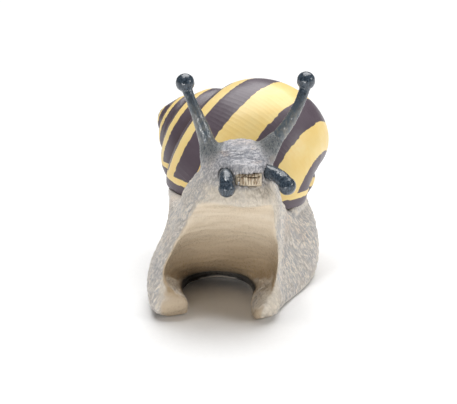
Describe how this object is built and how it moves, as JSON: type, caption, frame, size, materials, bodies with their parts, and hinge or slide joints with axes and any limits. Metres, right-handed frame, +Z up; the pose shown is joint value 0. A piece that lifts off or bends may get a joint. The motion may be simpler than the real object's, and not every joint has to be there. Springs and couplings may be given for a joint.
{
  "type": "tape dispenser",
  "caption": "Snail-shaped desk tape dispenser; the banded shell hinges back over a reel, and the tape runs under a roller to a cutter on the tail.",
  "frame": {"origin": "on the desk, on the face of the rear anti-slip pad, 20 mm ahead of the reel's axis", "axes": "-Y towards the snail's head, +Z up from the desk, +X towards the right seen from the head; the reel, roller and hinge axes lie along X"},
  "size_m": [0.0929, 0.164, 0.1194],
  "materials": {
    "body": "satin resin, wrinkled",
    "stalk": "gloss resin",
    "mouth": "bronze paint, gloss",
    "shell": "satin lacquer over bands",
    "dark_plastic": "fine texture",
    "hub_plastic": "satin",
    "pad": "matt",
    "ballast": "sand cast",
    "steel": "brushed",
    "zinc": "zinc plated",
    "magnet": "nickel plated",
    "core": "cardboard",
    "tape": "clear film"
  },
  "bodies": {
    "stand": {"body_casing": "body", "eye_stalk_left": "stalk", "eye_stalk_right": "stalk", "feeler_left": "stalk", "feeler_right": "stalk", "mouth_insert": "mouth", "base_plate": "dark_plastic", "base_pad": "pad", "front_pads": "pad", "base_screws": "zinc", "ballast_weight": "ballast", "roll_cradle": "dark_plastic", "cradle_screws": "zinc", "roller_pin": "steel", "tape_lead": "tape", "cutter_block": "dark_plastic", "cutter_blade": "steel", "blade_screws": "zinc", "hinge_leaf_base": "steel", "hinge_screws_base": "zinc", "hinge_pin": "steel", "casing_magnet": "magnet", "lid_bumpers": "pad"},
    "shell": {"snail_shell": "shell", "hinge_leaf_shell": "steel", "hinge_screws_shell": "zinc", "shell_magnet": "magnet"},
    "reel": {"hub": "hub_plastic", "hub_cap": "hub_plastic", "hub_axle": "steel", "roll_core": "core", "tape_roll": "tape"},
    "roller": {"guide_roller": "hub_plastic"}
  },
  "joints": [
    {"name": "shell_hinge", "type": "hinge", "parent": "stand", "child": "shell", "pos_m": [0.002, 0.0672, 0.041], "axis": [-1, 0, 0], "range_deg": [0, 65]},
    {"name": "reel_spin", "type": "hinge", "parent": "stand", "child": "reel", "pos_m": [0.002, 0.02, 0.062], "axis": [1, 0, 0], "continuous": true},
    {"name": "roller_spin", "type": "hinge", "parent": "stand", "child": "roller", "pos_m": [0.002, 0.04835, 0.038], "axis": [1, 0, 0], "continuous": true}
  ],
  "couplings": [
    {"joint": "roller_spin", "follows": "reel_spin", "ratio": -6}
  ]
}
